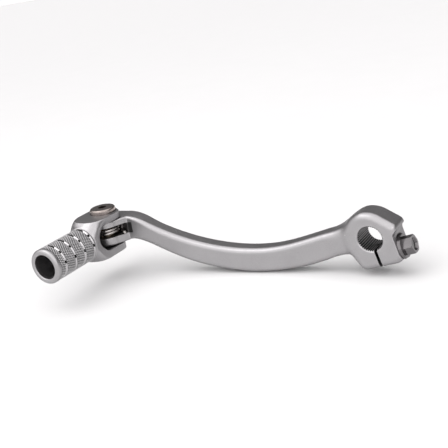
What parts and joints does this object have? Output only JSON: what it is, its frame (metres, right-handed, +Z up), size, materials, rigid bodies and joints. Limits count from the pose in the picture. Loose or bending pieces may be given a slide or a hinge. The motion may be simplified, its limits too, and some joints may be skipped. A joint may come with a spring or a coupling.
{
  "type": "gear shift lever",
  "caption": "Motorcycle gear shift lever with a splined clamp hub, a bowed arm and a spring-loaded folding toe peg with knurled bands.",
  "frame": {"origin": "centre of the splined bore, halfway along its length", "axes": "+Y along the bore into the engine, +Z up and parallel to the fold pivot, toe peg towards -X and out along -Y"},
  "size_m": [0.1646, 0.081, 0.0376],
  "materials": {
    "cast_aluminium": "satin bead-blasted",
    "polished_steel": "polished",
    "zinc_plated_steel": "bright zinc",
    "spring_steel": "drawn wire",
    "bronze": "machined",
    "seal_rubber": "matte"
  },
  "bodies": {
    "arm": {"clamp_hub": "cast_aluminium", "lever_arm": "cast_aluminium", "pivot_bushing": "bronze", "upper_dust_seal": "seal_rubber", "lower_dust_seal": "seal_rubber", "torsion_spring": "spring_steel", "pinch_bolt": "zinc_plated_steel"},
    "toe": {"toe_piece": "cast_aluminium", "pivot_bolt": "polished_steel"}
  },
  "joints": [
    {"name": "toe_fold", "type": "hinge", "parent": "arm", "child": "toe", "pos_m": [-0.1362, -0.0253, 0.00635], "axis": [0, 0, 1], "range_deg": [0, 60], "stiffness_Nm_per_rad": 0.2, "springref_deg": -34.38, "deforming": ["torsion_spring"]}
  ]
}
